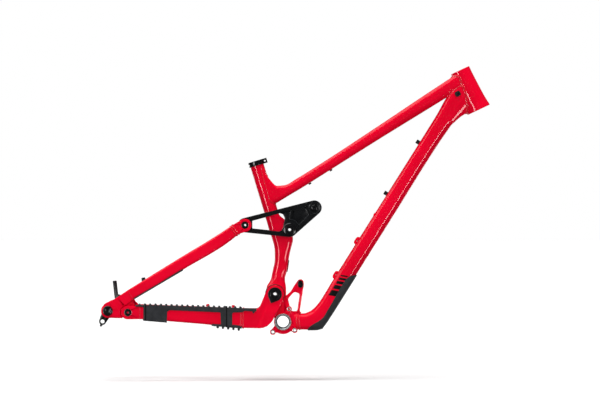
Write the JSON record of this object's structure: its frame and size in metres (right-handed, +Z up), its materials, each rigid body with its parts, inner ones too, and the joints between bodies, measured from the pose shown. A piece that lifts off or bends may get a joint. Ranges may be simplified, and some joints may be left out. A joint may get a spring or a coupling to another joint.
{
  "type": "full suspension bicycle frame",
  "caption": "Full-suspension mountain bicycle frame with a four-bar rear triangle, rocker link, rubber guards, threaded bottom bracket shell and tapered head tube.",
  "frame": {"origin": "centre of the bottom bracket shell on the mid-plane", "axes": "+X forward, towards the head tube; +Y to the left, away from the chain, along the bottom bracket axis; +Z up"},
  "size_m": [0.9917, 0.1805, 0.684],
  "materials": {
    "frame_paint": "glossy red powder coat under clear lacquer",
    "anodised_black": "satin black anodised, machined",
    "guard_rubber": "matt moulded rubber",
    "bearing_steel": "bearing steel",
    "machined_aluminium": "bright machined aluminium",
    "bolt_black": "black anodised bolts and axles",
    "fitting_plastic": "black moulded plastic"
  },
  "bodies": {
    "front_triangle": {"head_tube": "frame_paint", "seat_tube": "frame_paint", "down_tube": "frame_paint", "top_tube": "frame_paint", "bb_sleeve": "machined_aluminium", "chain_guide_inserts": "machined_aluminium", "bb_casting": "frame_paint", "seat_mast": "frame_paint", "shock_mount": "frame_paint", "shock_mount_inserts": "anodised_black", "lower_shock_bolt": "bolt_black", "lower_shock_nut": "bolt_black", "main_pivot_axle": "bolt_black", "main_pivot_nut": "bolt_black", "rocker_pivot_axle": "bolt_black", "rocker_pivot_nut": "bolt_black", "seat_collar": "anodised_black", "seat_collar_bolt": "bolt_black", "cable_ports": "fitting_plastic", "cable_port_screws": "bolt_black", "cable_clips": "fitting_plastic", "cable_clip_bolts": "bolt_black", "hose_guides": "frame_paint", "hose_guide_screws": "machined_aluminium", "accessory_bolts": "bolt_black", "mast_grommet": "guard_rubber", "down_tube_guard": "guard_rubber"},
    "chainstay": {"chainstay_yoke": "frame_paint", "main_pivot_bearings": "bearing_steel", "main_pivot_covers": "anodised_black", "chainstay_tube_right": "frame_paint", "chainstay_tube_left": "frame_paint", "chainstay_end_right": "frame_paint", "chainstay_end_left": "frame_paint", "horst_bearings": "bearing_steel", "chainstay_guard": "guard_rubber", "chainstay_lower_guard": "guard_rubber", "chainstay_hose_guides": "frame_paint"},
    "seatstay": {"seatstay_tube_right": "frame_paint", "seatstay_tube_left": "frame_paint", "seatstay_head_right": "frame_paint", "seatstay_head_left": "frame_paint", "seatstay_pivot_bolts": "bolt_black", "seatstay_bridge": "frame_paint", "derailleur_hanger": "anodised_black", "dropout_right": "frame_paint", "dropout_left": "frame_paint", "horst_bolts": "bolt_black", "rear_axle": "bolt_black", "rear_axle_cap": "anodised_black", "brake_mount": "anodised_black", "brake_mount_bolts": "bolt_black", "seatstay_guard": "guard_rubber"},
    "rocker": {"rocker_plate_right": "anodised_black", "rocker_plate_left": "anodised_black", "rocker_bearings": "bearing_steel", "upper_shock_bolt": "bolt_black", "upper_shock_nut": "bolt_black", "upper_shock_spacers": "anodised_black"}
  },
  "joints": [
    {"name": "main_pivot", "type": "hinge", "parent": "front_triangle", "child": "chainstay", "pos_m": [-0.0203, 0, 0.0703], "axis": [0, 1, 0], "range_deg": [0, 21]},
    {"name": "horst_pivot", "type": "hinge", "parent": "chainstay", "child": "seatstay", "pos_m": [-0.3914, 0, 0.0256], "axis": [0, -1, 0], "range_deg": [0, 10.56]},
    {"name": "rocker_pivot", "type": "hinge", "parent": "front_triangle", "child": "rocker", "pos_m": [0.0169, 0, 0.2341], "axis": [0, 1, 0], "range_deg": [0, 46.55]}
  ],
  "couplings": [
    {"joint": "horst_pivot", "follows": "main_pivot", "ratio": 0.50026},
    {"joint": "rocker_pivot", "follows": "main_pivot", "ratio": 2.2145}
  ]
}
